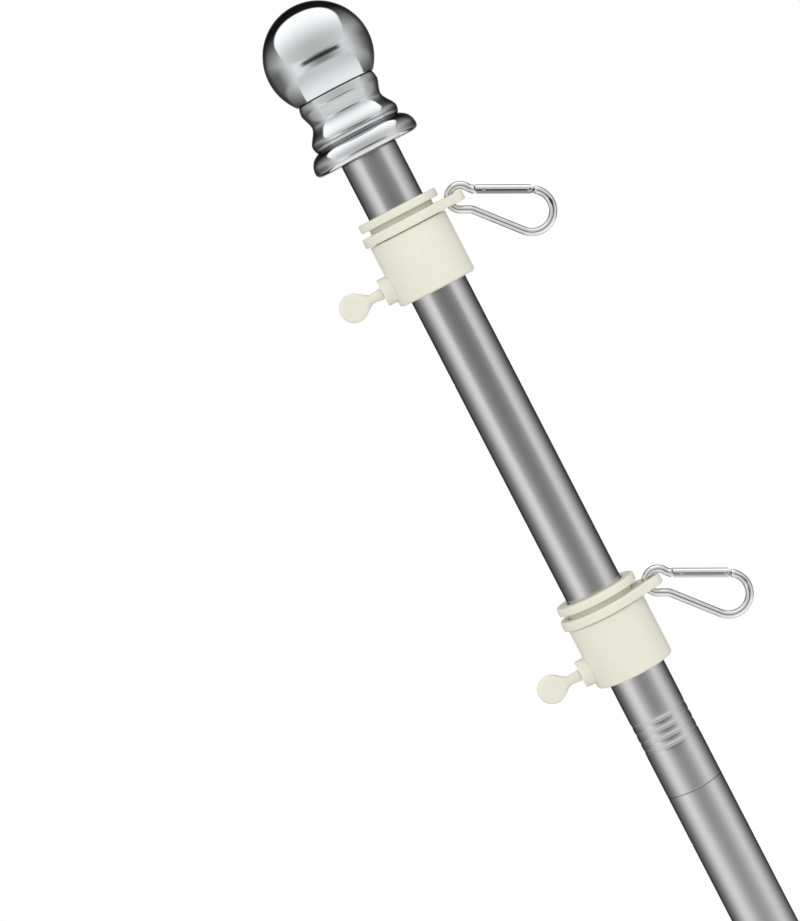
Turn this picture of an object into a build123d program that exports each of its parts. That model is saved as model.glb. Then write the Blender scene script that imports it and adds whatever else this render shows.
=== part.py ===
"""Sectional flagpole held at 45 degrees in a cast two-position wall bracket.

Millimetres. The wall is the plane x = 0, +X points out of the wall, +Z is up. The origin is on the
back face of the bracket's plate, midway between its four screw holes.
"""
import os
from math import atan, cos, degrees, radians, sin, tan

from build123d import *

# wall plate
plate_thick = 5.0
plate_half_width = 33.6
plate_nose_r = 20.6
hole_row_gap = 62.7
upper_hole_gap = 50.0
lower_hole_gap = 25.0
plate_hole_r = 2.7
upper_margin = 6.3
nose_above_row = 5.15
plate_edge_r = 1.4
plate_corner_r = 1.6

# pole tube
pole_r = 12.7
tube_wall = 1.0
section_length = 302.0
section_count = 5
raised_lean = 45.0
level_lean = 81.0

# rolled grooves that hold the joining sleeve in the foot of a section
groove_count = 4
groove_pitch = 3.93
groove_rise = 22.0
groove_depth = 0.45
groove_width = 1.9

# joining sleeve inside the tubes
sleeve_clear = 0.1
sleeve_wall = 1.0
sleeve_below = 45.0
sleeve_tail = 10.0

# socket of the bracket: both pole axes cross in the seat
seat_out = 8.3
seat_up = 5.45
bore_clear = 0.5
socket_wall = 4.5
foot_clear = 0.3
rim_out = 23.7
rim_up = 8.35
boss_foot_r = 15.2
boss_foot_up = -10.45
tail_up = 28.65
tail_out = 3.4
tail_knee_up = 16.95
tail_knee_out = 16.2
arm_front_up = 9.25
arm_front_lean = 52.6
arm_back_lean = 48.8
boss_root_r = 2.2

# double ring above the socket
raised_reach = 46.0
level_reach = 50.24
ring_thick = 12.0
cast_edge_r = 1.1
cast_rim_r = 0.8
screw_boss_edge_r = 0.6
mouth_edge_r = 0.5

# wing screws in the bracket
screw_r = 3.0
screw_clear = 0.05
screw_boss_r = 6.0
screw_boss_tall = 3.2
screw_shown = 9.8
hub_r = 4.7
hub_long = 6.4
hub_bulge = 0.6
screw_head_tall = 0.7
tip_gap = 0.3
wing_out = 12.6
wing_root = 2.5
wing_wide = 6.2
wing_thick = 2.2
wing_corner_r = 0.9
wing_sweep = 38.0
wing_turn = 21.0
socket_screw_up = 6.25
socket_screw_out = 15.0

# finial
ball_r = 23.5
ball_rise = 45.5
ball_wall = 1.2
flange_r = 23.85
flange_rise = 2.7
crease_r = 18.7
crease_rise = 9.6
bulge_r = 19.9
bulge_rise = 12.7
waist_r = 16.2
waist_rise = 20.3
bead_r = 17.9
bead_rise = 27.2
neck_r = 17.4
neck_rise = 30.3
plug_long = 24.0
plug_wall = 2.0

# collar that slides on the pole
collar_clear = 0.5
collar_tall = 38.5
collar_flange_r = 18.1
collar_flange_tall = 3.7
collar_groove_r = 14.6
collar_groove_tall = 6.8
collar_body_r = 17.6
collar_edge_r = 0.7
collar_boss_r = 6.05
collar_boss_tall = 4.1
collar_screw_drop = 29.7
upper_collar_drop = 25.3
lower_collar_drop = 208.2

# thumb screw in a collar
thumb_r = 2.05
thumb_clear = 0.05
thumb_neck = 2.2
paddle_r = 6.3
paddle_thick = 3.2
paddle_reach = 20.0

# swivel ring in the collar's groove
swivel_in_r = 15.2
swivel_out_r = 19.3
swivel_thick = 4.2
swivel_gap = 0.3
tab_tip = 27.7
tab_tip_r = 6.5
eye_r = 2.9
eye_out = 21.3

# snap hook
wire_r = 1.7
small_bend_r = 5.1
wide_bend_r = 8.95
wide_bend_along = 30.26
wide_bend_side = -5.75
spine_angle = 22.2
shoulder_r = 5.0
hook_lean = 17.8
hook_sag = 0.8
bend_play = 0.2
nose_run = 6.1
gate_side = 3.37
gate_r = 2.0
gate_start = 6.4
rivet_along = 29.2
rivet_r = 0.6
rivet_clear = 0.06
tang_thick = 1.3
tang_clear = 0.2
tang_r = 1.5
tongue_long = 2.4
tongue_half = 1.2
tongue_root = 1.0

os.makedirs("parts", exist_ok=True)


# places that follow from the sizes
def outward(lean):
    """Direction of a pole that leans this many degrees from the wall's face."""
    return Vector(sin(radians(lean)), 0, cos(radians(lean)))


bore_r = pole_r + bore_clear
ring_r = bore_r + socket_wall
seat = Vector(plate_thick + seat_out, 0, seat_up)
up_pole = outward(raised_lean)
under_pole = Vector(up_pole.Z, 0, -up_pole.X)
foot_step = (foot_clear + pole_r * up_pole.Z - seat_out) / up_pole.X
pole_foot = seat + up_pole * foot_step
pole_length = section_length * section_count
pole_top = pole_foot + up_pole * pole_length
tube_in_r = pole_r - tube_wall
sleeve_r = tube_in_r - sleeve_clear


def across_pole(drop):
    """Plane square to the pole, this far below its top, with x towards its underside."""
    return Plane(origin=pole_top - up_pole * drop, x_dir=under_pole, z_dir=up_pole)


def along_pole(drop):
    """Plane through the pole's axis: x is the radius on the underside, y runs up the pole."""
    return Plane(origin=pole_top - up_pole * drop, x_dir=under_pole, z_dir=(0, -1, 0))


def save(piece, node):
    piece.part.label = node
    export_step(piece.part, f"parts/{node}.step")


# bracket: the double ring is a slab cut from two sleeves round the pole axes
level_axis = outward(level_lean)
raised_mouth = seat + up_pole * raised_reach
level_mouth = seat + level_axis * level_reach
ring_run = (raised_mouth - level_mouth).normalized()
ring_face = Vector(ring_run.Z, 0, -ring_run.X)
if ring_face.X < 0:
    ring_face = ring_face * -1
raised_plane = Plane(origin=seat, x_dir=(0, 1, 0), z_dir=up_pole)
level_plane = Plane(origin=seat, x_dir=(0, 1, 0), z_dir=level_axis)
sleeve_long = level_reach + raised_reach


def flat(point):
    """Place of a point of the middle plane in a sketch on Plane.XZ."""
    return (point.X, point.Z)


with BuildPart() as bracket:
    with BuildSketch(raised_plane):
        Circle(ring_r)
    extrude(amount=sleeve_long)
    with BuildSketch(level_plane):
        Circle(ring_r)
    extrude(amount=sleeve_long)
    with BuildSketch(Plane.XZ):
        Polygon(
            flat(seat),
            flat(seat + up_pole * sleeve_long),
            flat(seat + level_axis * sleeve_long),
            align=None,
        )
    extrude(amount=ring_r, both=True)
    with BuildSketch(Plane.XZ):
        Polygon(
            flat(level_mouth - ring_run * ring_r * 2),
            flat(raised_mouth + ring_run * ring_r * 2),
            flat(raised_mouth + ring_run * ring_r * 2 - ring_face * ring_thick),
            flat(level_mouth - ring_run * ring_r * 2 - ring_face * ring_thick),
            align=None,
        )
    extrude(amount=ring_r * 2, both=True, mode=Mode.INTERSECT)
    fillet(bracket.faces().filter_by(Axis((0, 0, 0), ring_face)).edges(), cast_edge_r)
    for mouth_plane in (raised_plane, level_plane):
        with BuildSketch(mouth_plane):
            Circle(bore_r)
        extrude(amount=sleeve_long, mode=Mode.SUBTRACT)
    mouth_edges = bracket.faces().filter_by(Axis((0, 0, 0), ring_face)).sort_by(
        Axis((0, 0, 0), ring_face)
    )[-1].inner_wires().edges()
    fillet(mouth_edges, mouth_edge_r)

# bracket: D-shaped boss that leans up from the plate, cut to the side view of rim, knee and tail
rim_x = plate_thick + rim_out
knee = Vector(plate_thick + tail_knee_out, 0, tail_knee_up)
back_slope = Vector(sin(radians(arm_back_lean)), 0, cos(radians(arm_back_lean)))
front_slope = Vector(sin(radians(arm_front_lean)), 0, cos(radians(arm_front_lean)))
back_at_rim = knee + back_slope * ((rim_x - knee.X) / back_slope.X)

with BuildPart() as boss:
    with BuildSketch(Plane.YZ.offset(plate_thick)):
        with Locations((0, boss_foot_up)):
            Circle(boss_foot_r)
        with Locations((0, (boss_foot_up + tail_up) / 2)):
            Rectangle(2 * boss_foot_r, tail_up - boss_foot_up)
    with BuildSketch(Plane.YZ.offset(rim_x)):
        with Locations((0, rim_up)):
            Circle(ring_r)
        with Locations((0, rim_up + (tail_up - boss_foot_up) / 2)):
            Rectangle(2 * ring_r, tail_up - boss_foot_up)
    loft(ruled=True)
    with BuildSketch(Plane.XZ):
        Polygon(
            (plate_thick, boss_foot_up - 2 * boss_foot_r),
            (rim_x, boss_foot_up - 2 * boss_foot_r),
            flat(back_at_rim),
            flat(knee),
            (plate_thick + tail_out, tail_up),
            (plate_thick, tail_up),
            align=None,
        )
    extrude(amount=ring_r * 2, both=True, mode=Mode.INTERSECT)
    back_edges = boss.edges().filter_by(
        lambda edge: edge.bounding_box().max.Z > tail_knee_up + 0.1
        and edge.bounding_box().size.X > tail_out + 0.1
        and abs(edge.center().Y) > boss_foot_r
        and edge.center().Z > tail_knee_up
    )
    fillet(back_edges, cast_edge_r)

# bracket: side arms from the boss up to the double ring, as one block that the bores then open
arm_front = Vector(rim_x, 0, arm_front_up)
arm_long = raised_reach
with BuildPart() as arms:
    with BuildSketch(Plane.XZ):
        Polygon(
            flat(arm_front),
            flat(arm_front + front_slope * arm_long),
            flat(back_at_rim + back_slope * arm_long),
            flat(back_at_rim),
            align=None,
        )
    extrude(amount=ring_r, both=True)
    fillet(
        arms.edges().filter_by(
            lambda edge: edge.length > arm_long * 0.99 and abs(edge.tangent_at(0).Y) < 0.01
        ).filter_by(lambda edge: edge.bounding_box().min.X < rim_x + 0.01),
        cast_edge_r,
    )
    with BuildSketch(Plane.XZ):
        Polygon(
            flat(level_mouth - ring_run * ring_r * 4 - ring_face * ring_thick / 2),
            flat(raised_mouth + ring_run * ring_r * 4 - ring_face * ring_thick / 2),
            flat(raised_mouth + ring_run * ring_r * 4 + ring_face * arm_long),
            flat(level_mouth - ring_run * ring_r * 4 + ring_face * arm_long),
            align=None,
        )
    extrude(amount=ring_r * 2, both=True, mode=Mode.SUBTRACT)

# bracket: plate, then everything together, bored for the pole in both positions, with cast radii
plate_top = hole_row_gap / 2 + upper_margin
nose_up = nose_above_row - hole_row_gap / 2
level_foot = -seat_out / level_axis.X


def to_underside(axis, mouth):
    """Point where a pole axis meets the underside of the double ring."""
    return mouth - axis * (ring_thick / axis.dot(ring_face))


side_plane = Plane(origin=(0, -ring_r, 0), x_dir=(1, 0, 0), z_dir=(0, -1, 0))
ring_screw_back = ring_thick / 2
socket_screw = Vector(plate_thick + socket_screw_out, 0, socket_screw_up)
level_screw = level_mouth - level_axis * (ring_screw_back / level_axis.dot(ring_face))
raised_screw = raised_mouth - up_pole * (ring_screw_back / up_pole.dot(ring_face))
screw_places = {"socket": socket_screw, "level": level_screw, "raised": raised_screw}

with BuildPart() as plate:
    with BuildSketch(Plane.YZ):
        with BuildLine():
            CenterArc((0, nose_up), plate_nose_r, 0, 360)
            Line((-plate_half_width, plate_top), (plate_half_width, plate_top))
        make_hull()
    extrude(amount=plate_thick)
    corners = plate.edges().filter_by(Axis.X).group_by(Axis.Z)[-1]
    fillet(corners, plate_corner_r)
    fillet(plate.faces().sort_by(Axis.X)[-1].edges(), plate_edge_r)

with BuildPart() as casting:
    add(plate.part)
    add(boss.part)
    root_edges = casting.edges().filter_by_position(Axis.X, plate_thick, plate_thick).filter_by(
        lambda edge: abs(edge.center().Y) < ring_r and -plate_nose_r < edge.center().Z < tail_up + cast_edge_r
    )
    fillet(root_edges, boss_root_r)
    add(arms.part)
    with BuildSketch(Plane(origin=pole_foot - up_pole * foot_clear, x_dir=(0, 1, 0), z_dir=up_pole)):
        Circle(bore_r)
    extrude(amount=sleeve_long, mode=Mode.SUBTRACT)
    level_seat = seat + level_axis * (level_foot + bore_r * abs(level_axis.Z) / level_axis.X)
    with BuildSketch(Plane(origin=level_seat, x_dir=(0, 1, 0), z_dir=level_axis)):
        Circle(bore_r)
    extrude(amount=sleeve_long, mode=Mode.SUBTRACT)
    with BuildSketch(Plane.XZ):
        Polygon(
            flat(seat),
            flat(to_underside(up_pole, raised_mouth)),
            flat(to_underside(level_axis, level_mouth)),
            align=None,
        )
    extrude(amount=bore_r, both=True, mode=Mode.SUBTRACT)
    rim_edges = casting.edges().filter_by_position(Axis.X, rim_x, rim_x).filter_by(
        lambda edge: edge.geom_type in (GeomType.CIRCLE, GeomType.ELLIPSE)
    )
    fillet(rim_edges, cast_rim_r)
    add(bracket.part)
    for depth in (screw_boss_tall, -socket_wall / 2):
        with BuildSketch(side_plane):
            for place in screw_places.values():
                with Locations((place.X, place.Z)):
                    Circle(screw_boss_r)
        extrude(amount=depth)
    with BuildSketch(side_plane.offset(screw_boss_tall)):
        for place in screw_places.values():
            with Locations((place.X, place.Z)):
                Circle(screw_r + screw_clear)
    extrude(amount=-(screw_boss_tall + ring_r), mode=Mode.SUBTRACT)
    with BuildSketch(Plane.YZ):
        with Locations((0, hole_row_gap / 2)):
            with GridLocations(upper_hole_gap, 1, 2, 1):
                Circle(plate_hole_r)
        with Locations((0, -hole_row_gap / 2)):
            with GridLocations(lower_hole_gap, 1, 2, 1):
                Circle(plate_hole_r)
    extrude(amount=plate_thick, mode=Mode.SUBTRACT)
    boss_edges = casting.edges().filter_by_position(
        Axis.Y, -ring_r - screw_boss_tall, -ring_r - screw_boss_tall
    )
    fillet(boss_edges, screw_boss_edge_r)
save(casting, "bracket")

# wing screws: a stud through the side wall, with a winged hub near its outer end
for name, place in screw_places.items():
    tip_y = -(bore_r + tip_gap) if name == "level" else -(pole_r + tip_gap)
    hub_y = -(ring_r + screw_boss_tall + screw_shown)
    screw_plane = Plane(origin=(place.X, hub_y, place.Z), x_dir=outward(wing_turn), z_dir=(0, -1, 0))
    with BuildPart() as stud:
        with BuildSketch(screw_plane.offset(hub_long + screw_head_tall)):
            Circle(screw_r)
        extrude(amount=-(hub_long + screw_head_tall - hub_y + tip_y))
        chamfer(stud.faces().sort_by(Axis.Y)[0].edges(), screw_head_tall * 0.8)
    save(stud, f"wing_screw_{name}_stud")

    with BuildPart() as wings:
        with BuildSketch(Plane(screw_plane.origin, x_dir=screw_plane.x_dir, z_dir=screw_plane.y_dir)):
            with BuildLine():
                Polyline((0, 0), (hub_r - hub_bulge, 0))
                ThreePointArc((hub_r - hub_bulge, 0), (hub_r, -hub_long / 2), (hub_r - hub_bulge, -hub_long))
                Polyline((hub_r - hub_bulge, -hub_long), (0, -hub_long), (0, 0))
            make_face()
        revolve(axis=Axis(screw_plane.origin, screw_plane.z_dir))
        for side in (1, -1):
            with BuildSketch(Plane(screw_plane.origin, x_dir=screw_plane.x_dir, z_dir=screw_plane.y_dir)):
                with Locations((0, -hub_long / 2)):
                    with Locations(Location((0, 0), side * -wing_sweep)):
                        with Locations((side * (wing_out + wing_root) / 2, 0)):
                            RectangleRounded(wing_out - wing_root, wing_wide, wing_corner_r)
            extrude(amount=wing_thick / 2, both=True)
        with BuildSketch(screw_plane):
            Circle(screw_r)
        extrude(amount=2 * hub_long, both=True, mode=Mode.SUBTRACT)
    save(wings, f"wing_screw_{name}_wings")

# pole sections: tubes with rolled grooves near the foot of all but the lowest
for number in range(1, section_count + 1):
    drop = section_length * number
    with BuildPart() as section:
        with BuildSketch(across_pole(drop)):
            Circle(pole_r)
            Circle(tube_in_r, mode=Mode.SUBTRACT)
        extrude(amount=section_length)
        if number < section_count:
            half = groove_width / 2
            for index in range(groove_count):
                rise = groove_rise + index * groove_pitch
                with BuildSketch(along_pole(drop)):
                    with BuildLine():
                        ThreePointArc(
                            (pole_r, rise - half), (pole_r - groove_depth, rise), (pole_r, rise + half)
                        )
                        Line((pole_r, rise + half), (pole_r, rise - half))
                    make_face()
                revolve(axis=Axis(pole_foot, up_pole), mode=Mode.SUBTRACT)
    save(section, f"pole_section_{number}")

# joining sleeves: fixed in the foot of one tube, standing into the head of the next
for number in range(1, section_count):
    drop = section_length * number
    sleeve_above = groove_rise + (groove_count - 1) * groove_pitch + sleeve_tail
    with BuildPart() as sleeve:
        with BuildSketch(across_pole(drop + sleeve_below)):
            Circle(sleeve_r)
            Circle(sleeve_r - sleeve_wall, mode=Mode.SUBTRACT)
        extrude(amount=sleeve_below + sleeve_above)
    save(sleeve, f"pole_sleeve_{number}")

# finial: a turned base whose plug stands in the tube, with a hollow ball on it
with BuildPart() as base:
    with BuildSketch(along_pole(0)):
        with BuildLine():
            Polyline((0, 0), (flange_r - flange_rise * 0.8, 0))
            ThreePointArc(
                (flange_r - flange_rise * 0.8, 0),
                (flange_r - flange_rise * 0.24, flange_rise * 0.26),
                (flange_r, flange_rise),
            )
            ThreePointArc(
                (flange_r, flange_rise),
                (flange_r - (flange_r - crease_r) * 0.2, (flange_rise + crease_rise) / 2 + 0.9),
                (crease_r, crease_rise),
            )
            ThreePointArc(
                (crease_r, crease_rise),
                (bulge_r - 0.15, (crease_rise + bulge_rise) / 2 - 0.2),
                (bulge_r, bulge_rise),
            )
            Spline(
                (bulge_r, bulge_rise),
                (waist_r, waist_rise),
                (bead_r, bead_rise),
                tangents=((0, 1), (0, 1)),
            )
            ThreePointArc(
                (bead_r, bead_rise),
                (bead_r + 0.1, (bead_rise + neck_rise) / 2),
                (neck_r, neck_rise),
            )
            Polyline((neck_r, neck_rise), (0, neck_rise), (0, 0))
        make_face()
    revolve(axis=Axis(pole_foot, up_pole))
    with BuildSketch(across_pole(0)):
        Circle(sleeve_r)
    extrude(amount=-plug_long)
    with BuildSketch(across_pole(plug_long)):
        Circle(sleeve_r - plug_wall)
    extrude(amount=plug_long + neck_rise, mode=Mode.SUBTRACT)
save(base, "finial_base")

with BuildPart() as ball:
    with BuildSketch(along_pole(-ball_rise)):
        Circle(ball_r)
        Circle(ball_r - ball_wall, mode=Mode.SUBTRACT)
        with Locations((-ball_r, 0)):
            Rectangle(2 * ball_r, 2 * ball_r, mode=Mode.SUBTRACT)
        with Locations((0, -ball_r)):
            Rectangle(2 * ball_r, 2 * (ball_r - ball_rise + neck_rise), mode=Mode.SUBTRACT)
    revolve(axis=Axis(pole_foot, up_pole))
save(ball, "finial_ball")

# collars with their screw, swivel ring and snap hook
collar_drops = {"upper": upper_collar_drop, "lower": lower_collar_drop}
for name, drop in collar_drops.items():
    collar_bore_r = pole_r + collar_clear
    groove_top = collar_flange_tall
    groove_foot = collar_flange_tall + collar_groove_tall
    with BuildPart() as collar:
        with BuildSketch(along_pole(drop)):
            with BuildLine():
                Polyline(
                    (collar_bore_r, 0),
                    (collar_flange_r, 0),
                    (collar_flange_r, -groove_top),
                    (collar_groove_r, -groove_top),
                    (collar_groove_r, -groove_foot),
                    (collar_body_r, -groove_foot),
                    (collar_body_r, -collar_tall),
                    (collar_bore_r, -collar_tall),
                    (collar_bore_r, 0),
                )
            make_face()
        revolve(axis=Axis(pole_foot, up_pole))
        rims = collar.edges().filter_by(GeomType.CIRCLE).filter_by(
            lambda edge: abs(edge.radius - collar_flange_r) < 0.01 or abs(edge.radius - collar_body_r) < 0.01
        )
        fillet(rims, collar_edge_r)
        screw_at = across_pole(drop + collar_screw_drop)
        boss_plane = Plane(origin=screw_at.origin, x_dir=(0, 1, 0), z_dir=-screw_at.x_dir)
        with BuildSketch(boss_plane.offset((collar_bore_r + collar_body_r) / 2)):
            Circle(collar_boss_r)
        extrude(amount=(collar_body_r - collar_bore_r) / 2 + collar_boss_tall)
        with BuildSketch(boss_plane):
            Circle(thumb_r + thumb_clear)
        extrude(amount=collar_body_r + collar_boss_tall, mode=Mode.SUBTRACT)
    save(collar, f"{name}_collar")

    boss_face = collar_body_r + collar_boss_tall
    paddle_at = boss_face + paddle_reach - paddle_r
    with BuildPart() as thumb:
        paddle_plane = Plane(origin=screw_at.origin, x_dir=-screw_at.x_dir, z_dir=(0, -1, 0))
        with BuildSketch(paddle_plane):
            with BuildLine():
                CenterArc((paddle_at, 0), paddle_r, 0, 360)
                Line((boss_face + thumb_neck, -thumb_r), (boss_face + thumb_neck, thumb_r))
            make_hull()
        extrude(amount=paddle_thick / 2, both=True)
        round_edges = thumb.edges().filter_by(GeomType.CIRCLE).filter_by(
            lambda edge: abs(edge.radius - paddle_r) < 0.01
        )
        fillet(round_edges, paddle_thick * 0.3)
        with BuildSketch(boss_plane.offset(pole_r + tip_gap)):
            Circle(thumb_r)
        extrude(amount=paddle_at - pole_r - tip_gap)
    save(thumb, f"{name}_thumb_screw")

    swivel_drop = drop + groove_foot - swivel_gap
    eye_drop = swivel_drop - swivel_thick / 2
    with BuildPart() as swivel:
        with BuildSketch(across_pole(swivel_drop)):
            with BuildLine():
                CenterArc((0, 0), swivel_out_r, 0, 360)
                CenterArc((tab_tip - tab_tip_r, 0), tab_tip_r, 0, 360)
            make_hull()
            Circle(swivel_in_r, mode=Mode.SUBTRACT)
            with Locations((eye_out, 0)):
                Circle(eye_r, mode=Mode.SUBTRACT)
        extrude(amount=swivel_thick)
        outer = swivel.faces().filter_by(Axis(pole_foot, up_pole)).edges()
        fillet(outer, collar_edge_r)
    save(swivel, f"{name}_swivel_ring")

    hook_plane = Plane(
        origin=across_pole(eye_drop).from_local_coords((eye_out + small_bend_r - bend_play, 0, 0)),
        x_dir=(sin(radians(hook_lean)), 0, -cos(radians(hook_lean))),
        z_dir=(0, -1, 0),
    )
    hook_plane.origin -= hook_plane.y_dir * hook_sag
    turn = radians(spine_angle)
    spine_foot = (
        wide_bend_along - wide_bend_r * sin(turn),
        wide_bend_side - wide_bend_r * cos(turn),
    )
    knee_run = (small_bend_r + spine_foot[1]) / tan(turn)
    spine_head = (spine_foot[0] + knee_run, -small_bend_r)
    nose_drop = small_bend_r - gate_side
    nose_turn = 2 * degrees(atan(nose_drop / nose_run))
    nose_r = nose_run / 2 / sin(radians(nose_turn))
    wire_end = rivet_along + gate_r + 2 * tang_clear
    wire_start = degrees(atan((gate_side - wide_bend_side) / (wire_end - wide_bend_along)))
    with BuildPart() as hook:
        with BuildLine(hook_plane) as wire:
            CenterArc(
                (wide_bend_along, wide_bend_side), wide_bend_r, wire_start, -wire_start - 90 - spine_angle
            )
            FilletPolyline(spine_foot, spine_head, (0, -small_bend_r), radius=shoulder_r)
            CenterArc((0, 0), small_bend_r, -90, -180)
            first = JernArc((0, small_bend_r), (1, 0), nose_r, -nose_turn)
            JernArc(first @ 1, first % 1, nose_r, nose_turn)
        wire_head = wire.line @ 0
        with BuildSketch(Plane(origin=wire_head, x_dir=(0, 1, 0), z_dir=wire.line % 0)):
            Circle(wire_r)
        sweep(path=wire.line)
        with BuildSketch(hook_plane):
            with BuildLine():
                CenterArc((rivet_along, gate_side), tang_r, 0, 360)
                CenterArc((rivet_along + gate_r + 0.9, gate_side - 0.7), tang_r - 0.3, 0, 360)
            make_hull()
            with Locations((nose_run + (tongue_long - tongue_root) / 2, gate_side)):
                Rectangle(tongue_long + tongue_root, 2 * tongue_half)
        extrude(amount=tang_thick / 2, both=True)
        with BuildSketch(hook_plane):
            with Locations((rivet_along, gate_side)):
                Circle(rivet_r)
        extrude(amount=gate_r, both=True, mode=Mode.SUBTRACT)
    save(hook, f"{name}_hook")

    gate_plane = Plane(
        origin=hook_plane.from_local_coords((gate_start, gate_side, 0)),
        x_dir=hook_plane.z_dir,
        z_dir=hook_plane.x_dir,
    )
    with BuildPart() as gate:
        with BuildSketch(gate_plane):
            Circle(gate_r)
        extrude(amount=rivet_along + gate_r - gate_start)
        slot = tang_thick + 2 * tang_clear
        with BuildSketch(hook_plane):
            with Locations((gate_start + tongue_long / 2, gate_side)):
                Rectangle(tongue_long + tongue_root, 3 * gate_r)
            with Locations((rivet_along + gate_r / 2, gate_side)):
                Rectangle(3 * gate_r, 3 * gate_r)
        extrude(amount=slot / 2, both=True, mode=Mode.SUBTRACT)
        with BuildSketch(hook_plane):
            with Locations((rivet_along + gate_r, gate_side)):
                Rectangle(2 * gate_r, 2 * gate_r)
            with Locations((rivet_along, gate_side)):
                Circle(gate_r, mode=Mode.SUBTRACT)
        extrude(amount=gate_r, both=True, mode=Mode.SUBTRACT)
        with BuildSketch(hook_plane):
            with Locations((rivet_along, gate_side)):
                Circle(rivet_r + rivet_clear)
        extrude(amount=gate_r, both=True, mode=Mode.SUBTRACT)
    save(gate, f"{name}_hook_gate")

    with BuildPart() as rivet:
        with BuildSketch(hook_plane):
            with Locations((rivet_along, gate_side)):
                Circle(rivet_r)
        extrude(amount=gate_r, both=True)
    save(rivet, f"{name}_hook_rivet")
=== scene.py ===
"""Sectional flagpole in a cast wall bracket: finishes, turned and bent pieces, lights and camera.

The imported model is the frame. Pieces that stand for a node are worked out as surfaces in the
model's own metres, with +X out of the wall and +Z up, and each rides on the body of that node.
"""

from math import radians

import bmesh
import bpy
import numpy as np
from mathutils import Matrix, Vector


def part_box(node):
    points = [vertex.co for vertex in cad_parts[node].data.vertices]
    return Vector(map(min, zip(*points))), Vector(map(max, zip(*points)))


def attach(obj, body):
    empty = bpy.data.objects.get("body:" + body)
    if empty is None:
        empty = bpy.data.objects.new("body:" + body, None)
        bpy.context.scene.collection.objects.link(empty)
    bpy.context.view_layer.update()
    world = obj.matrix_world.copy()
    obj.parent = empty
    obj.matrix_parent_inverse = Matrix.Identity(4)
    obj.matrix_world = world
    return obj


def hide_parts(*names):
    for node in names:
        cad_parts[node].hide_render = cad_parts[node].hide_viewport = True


bl_info = {
    "name": "Sectional flagpole",
    "version": (1, 0, 0),
    "blender": (4, 5, 0),
    "location": "View3D > Sidebar > Flagpole",
    "description": "Finishes and fine pieces of a sectional flagpole in a two-position wall bracket",
    "category": "Object",
}

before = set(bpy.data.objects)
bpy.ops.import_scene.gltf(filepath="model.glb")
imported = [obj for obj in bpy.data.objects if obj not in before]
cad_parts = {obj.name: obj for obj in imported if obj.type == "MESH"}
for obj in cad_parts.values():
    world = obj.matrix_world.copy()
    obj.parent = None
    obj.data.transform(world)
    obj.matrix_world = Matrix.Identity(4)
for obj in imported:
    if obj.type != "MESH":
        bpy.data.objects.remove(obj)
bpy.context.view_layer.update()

MM = 0.001
UP_POLE = np.array([1.0, 0.0, 1.0]) / np.sqrt(2)
UNDER_POLE = np.array([1.0, 0.0, -1.0]) / np.sqrt(2)
SIDE = np.array([0.0, -1.0, 0.0])
POLE_LEAN = 45
SECTIONS = 5
GROOVES = 4
COLLARS = ("upper", "lower")

# Painted dark reflection: tint of polished metal where it is seen at a grazing angle, set dark so that its
# rims look as if they reflected dark surroundings
PAINTED_DARK_RIM = (0.0, 0.0, 0.0)
PAINTED_GREY_RIM = (0.35, 0.35, 0.35)


# Sizes and colours that a user would change

def length(name, description, millimetres):
    return bpy.props.FloatProperty(
        name=name, description=description, default=millimetres * MM, unit="LENGTH", precision=5
    )


def colour(name, description, value):
    return bpy.props.FloatVectorProperty(
        name=name, description=description, default=value, subtype="COLOR", size=3, min=0, max=1
    )


def share(name, description, value):
    return bpy.props.FloatProperty(
        name=name, description=description, default=value, min=0, max=1, subtype="FACTOR"
    )


class FlagpoleSizes(bpy.types.PropertyGroup):
    pole_radius: length("Pole radius", "Outer radius of the tube", 12.7)
    tube_wall: length("Tube wall", "Thickness of the tube's wall", 1.0)
    section_length: length("Section length", "Length of one pole section", 302.0)
    groove_rise: length("Groove rise", "Height of the lowest rolled groove above the foot of a section", 22.0)
    groove_pitch: length("Groove pitch", "Distance between rolled grooves", 3.93)
    groove_depth: length("Groove depth", "Depth of a rolled groove", 0.3)
    groove_width: length("Groove width", "Half width of a rolled groove at half its depth", 0.62)
    seam_edge: length("Seam edge", "Rounding of the tube's ends, which shows as the seam", 0.22)
    ball_radius: length("Ball radius", "Radius of the finial's ball", 23.5)
    ball_rise: length("Ball rise", "Height of the ball's centre above the pole's top", 45.5)
    collar_bore: length("Collar bore", "Radius of the collar's bore", 13.2)
    collar_edge: length("Collar edge", "Rounding of the collar's outer edges", 1.2)
    upper_drop: length("Upper collar drop", "Distance from the pole's top to the upper collar", 25.3)
    lower_drop: length("Lower collar drop", "Distance from the pole's top to the lower collar", 208.2)
    screw_drop: length("Thumb screw drop", "Distance from a collar's top to its thumb screw", 29.7)
    paddle_radius: length("Paddle radius", "Radius of the thumb screw's paddle", 6.3)
    paddle_thick: length("Paddle thickness", "Thickness of the paddle near its rim", 3.2)
    wire_radius: length("Hook wire radius", "Radius of the snap hook's wire", 1.7)
    gate_radius: length("Gate radius", "Outer radius of the snap hook's gate", 2.0)
    screw_radius: length("Wing screw radius", "Outer radius of a wing screw's thread", 3.0)
    screw_pitch: length("Wing screw pitch", "Pitch of a wing screw's thread", 1.0)
    thumb_pitch: length("Thumb screw pitch", "Pitch of a thumb screw's moulded thread", 1.2)
    hub_radius: length("Hub radius", "Radius of a wing screw's hub", 4.7)
    wing_reach: length("Wing reach", "Distance from a hub's centre to a wing's tip", 12.6)
    wing_width: length("Wing width", "Width of a wing at its tip", 6.2)


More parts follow.
